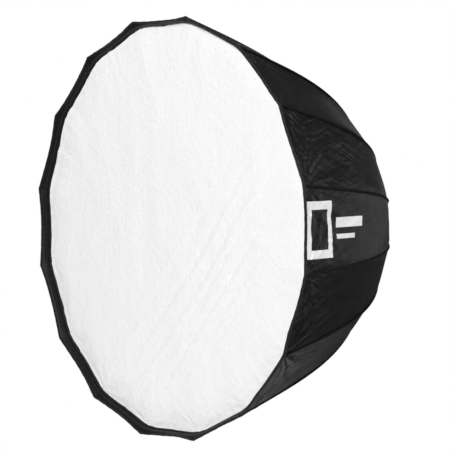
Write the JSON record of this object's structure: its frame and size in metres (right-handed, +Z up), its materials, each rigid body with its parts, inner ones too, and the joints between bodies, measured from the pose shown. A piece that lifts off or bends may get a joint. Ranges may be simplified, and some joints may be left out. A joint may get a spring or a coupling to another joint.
{
  "type": "octabox",
  "caption": "Deep parabolic studio softbox on quick-open hinged ribs, with a recessed front diffuser, an inner diffuser and a turning three-lug bayonet speedring.",
  "frame": {"origin": "centre of the bayonet insert's flange face, on the canopy's axis", "axes": "-Y out of the open front, +Y towards the light, +Z up"},
  "size_m": [1.4742, 0.8829, 1.4742],
  "materials": {
    "black_nylon": "semi-gloss woven polyester, coated silver inside",
    "binding_tape": "matte black grosgrain tape",
    "lip_satin": "black satin with a soft sheen",
    "diffusion_cloth": "thin matte white diffusion cloth",
    "black_elastic": "matte black elastic webbing",
    "rib_black": "black-coated spring steel rods in black brackets",
    "ring_black": "black anodised, satin",
    "insert_steel": "nickel-plated, turned",
    "spring_steel": "bright spring steel",
    "screw_black": "black-oxide screws",
    "washer_nylon": "natural nylon",
    "cover_black": "fine-textured black plastic"
  },
  "bodies": {
    "mount": {"bayonet_insert": "insert_steel", "retaining_ring": "insert_steel", "retaining_screws": "screw_black"},
    "rod_ring": {"rod_ring": "ring_black", "glide_washers": "washer_nylon", "front_plate": "ring_black", "front_plate_screws": "screw_black", "rear_cover": "cover_black", "rear_cover_screws": "screw_black", "hinge_pins": "spring_steel", "detent_springs": "spring_steel", "rear_collar": "black_elastic", "front_binding": "binding_tape", "front_lip_band": "lip_satin", "outer_diffuser": "diffusion_cloth", "diffuser_hem": "binding_tape", "inner_diffuser": "diffusion_cloth", "baffle_tabs": "black_elastic"},
    "lock_knob": {"lock_knob": "cover_black", "lock_stud": "spring_steel"},
    "rib_01": {"rib_01": "rib_black", "gore_01": "black_nylon"},
    "rib_02": {"rib_02": "rib_black", "gore_02": "black_nylon"},
    "rib_03": {"rib_03": "rib_black", "gore_03": "black_nylon"},
    "rib_04": {"rib_04": "rib_black", "gore_04": "black_nylon"},
    "rib_05": {"rib_05": "rib_black", "gore_05": "black_nylon"},
    "rib_06": {"rib_06": "rib_black", "gore_06": "black_nylon"},
    "rib_07": {"rib_07": "rib_black", "gore_07": "black_nylon"},
    "rib_08": {"rib_08": "rib_black", "gore_08": "black_nylon"},
    "rib_09": {"rib_09": "rib_black", "gore_09": "black_nylon"},
    "rib_10": {"rib_10": "rib_black", "gore_10": "black_nylon"},
    "rib_11": {"rib_11": "rib_black", "gore_11": "black_nylon"},
    "rib_12": {"rib_12": "rib_black", "gore_12": "black_nylon"},
    "rib_13": {"rib_13": "rib_black", "gore_13": "black_nylon"},
    "rib_14": {"rib_14": "rib_black", "gore_14": "black_nylon"},
    "rib_15": {"rib_15": "rib_black", "gore_15": "black_nylon"},
    "rib_16": {"rib_16": "rib_black", "gore_16": "black_nylon"}
  },
  "joints": [
    {"name": "ring_turn", "type": "hinge", "parent": "mount", "child": "rod_ring", "pos_m": [0, 0, 0], "axis": [0, 1, 0], "continuous": true},
    {"name": "knob_turn", "type": "hinge", "parent": "rod_ring", "child": "lock_knob", "pos_m": [0, -0.013, -0.1], "axis": [0, 0, 1], "range_deg": [0, 270]},
    {"name": "fold_01", "type": "hinge", "parent": "rod_ring", "child": "rib_01", "pos_m": [0.08239, -0.0305, 0.01639], "axis": [0.1951, 0, -0.9808], "range_deg": [0, 38], "deforming": ["gore_01", "front_binding", "front_lip_band", "outer_diffuser", "diffuser_hem", "inner_diffuser", "baffle_tabs"]},
    {"name": "fold_02", "type": "hinge", "parent": "rod_ring", "child": "rib_02", "pos_m": [0.06984, -0.0305, 0.04667], "axis": [0.5556, 0, -0.8315], "range_deg": [0, 38], "deforming": ["gore_02"]},
    {"name": "fold_03", "type": "hinge", "parent": "rod_ring", "child": "rib_03", "pos_m": [0.04667, -0.0305, 0.06984], "axis": [0.8315, 0, -0.5556], "range_deg": [0, 38], "deforming": ["gore_03"]},
    {"name": "fold_04", "type": "hinge", "parent": "rod_ring", "child": "rib_04", "pos_m": [0.01639, -0.0305, 0.08239], "axis": [0.9808, 0, -0.1951], "range_deg": [0, 38], "deforming": ["gore_04"]},
    {"name": "fold_05", "type": "hinge", "parent": "rod_ring", "child": "rib_05", "pos_m": [-0.01639, -0.0305, 0.08239], "axis": [0.9808, 0, 0.1951], "range_deg": [0, 38], "deforming": ["gore_05"]},
    {"name": "fold_06", "type": "hinge", "parent": "rod_ring", "child": "rib_06", "pos_m": [-0.04667, -0.0305, 0.06984], "axis": [0.8315, 0, 0.5556], "range_deg": [0, 38], "deforming": ["gore_06"]},
    {"name": "fold_07", "type": "hinge", "parent": "rod_ring", "child": "rib_07", "pos_m": [-0.06984, -0.0305, 0.04667], "axis": [0.5556, 0, 0.8315], "range_deg": [0, 38], "deforming": ["gore_07"]},
    {"name": "fold_08", "type": "hinge", "parent": "rod_ring", "child": "rib_08", "pos_m": [-0.08239, -0.0305, 0.01639], "axis": [0.1951, 0, 0.9808], "range_deg": [0, 38], "deforming": ["gore_08"]},
    {"name": "fold_09", "type": "hinge", "parent": "rod_ring", "child": "rib_09", "pos_m": [-0.08239, -0.0305, -0.01639], "axis": [-0.1951, 0, 0.9808], "range_deg": [0, 38], "deforming": ["gore_09"]},
    {"name": "fold_10", "type": "hinge", "parent": "rod_ring", "child": "rib_10", "pos_m": [-0.06984, -0.0305, -0.04667], "axis": [-0.5556, 0, 0.8315], "range_deg": [0, 38], "deforming": ["gore_10"]},
    {"name": "fold_11", "type": "hinge", "parent": "rod_ring", "child": "rib_11", "pos_m": [-0.04667, -0.0305, -0.06984], "axis": [-0.8315, 0, 0.5556], "range_deg": [0, 38], "deforming": ["gore_11"]},
    {"name": "fold_12", "type": "hinge", "parent": "rod_ring", "child": "rib_12", "pos_m": [-0.01639, -0.0305, -0.08239], "axis": [-0.9808, 0, 0.1951], "range_deg": [0, 38], "deforming": ["gore_12"]},
    {"name": "fold_13", "type": "hinge", "parent": "rod_ring", "child": "rib_13", "pos_m": [0.01639, -0.0305, -0.08239], "axis": [-0.9808, 0, -0.1951], "range_deg": [0, 38], "deforming": ["gore_13"]},
    {"name": "fold_14", "type": "hinge", "parent": "rod_ring", "child": "rib_14", "pos_m": [0.04667, -0.0305, -0.06984], "axis": [-0.8315, 0, -0.5556], "range_deg": [0, 38], "deforming": ["gore_14"]},
    {"name": "fold_15", "type": "hinge", "parent": "rod_ring", "child": "rib_15", "pos_m": [0.06984, -0.0305, -0.04667], "axis": [-0.5556, 0, -0.8315], "range_deg": [0, 38], "deforming": ["gore_15"]},
    {"name": "fold_16", "type": "hinge", "parent": "rod_ring", "child": "rib_16", "pos_m": [0.08239, -0.0305, -0.01639], "axis": [-0.1951, 0, -0.9808], "range_deg": [0, 38], "deforming": ["gore_16"]}
  ],
  "couplings": [
    {"joint": "fold_02", "follows": "fold_01", "ratio": 1},
    {"joint": "fold_03", "follows": "fold_01", "ratio": 1},
    {"joint": "fold_04", "follows": "fold_01", "ratio": 1},
    {"joint": "fold_05", "follows": "fold_01", "ratio": 1},
    {"joint": "fold_06", "follows": "fold_01", "ratio": 1},
    {"joint": "fold_07", "follows": "fold_01", "ratio": 1},
    {"joint": "fold_08", "follows": "fold_01", "ratio": 1},
    {"joint": "fold_09", "follows": "fold_01", "ratio": 1},
    {"joint": "fold_10", "follows": "fold_01", "ratio": 1},
    {"joint": "fold_11", "follows": "fold_01", "ratio": 1},
    {"joint": "fold_12", "follows": "fold_01", "ratio": 1},
    {"joint": "fold_13", "follows": "fold_01", "ratio": 1},
    {"joint": "fold_14", "follows": "fold_01", "ratio": 1},
    {"joint": "fold_15", "follows": "fold_01", "ratio": 1},
    {"joint": "fold_16", "follows": "fold_01", "ratio": 1}
  ]
}
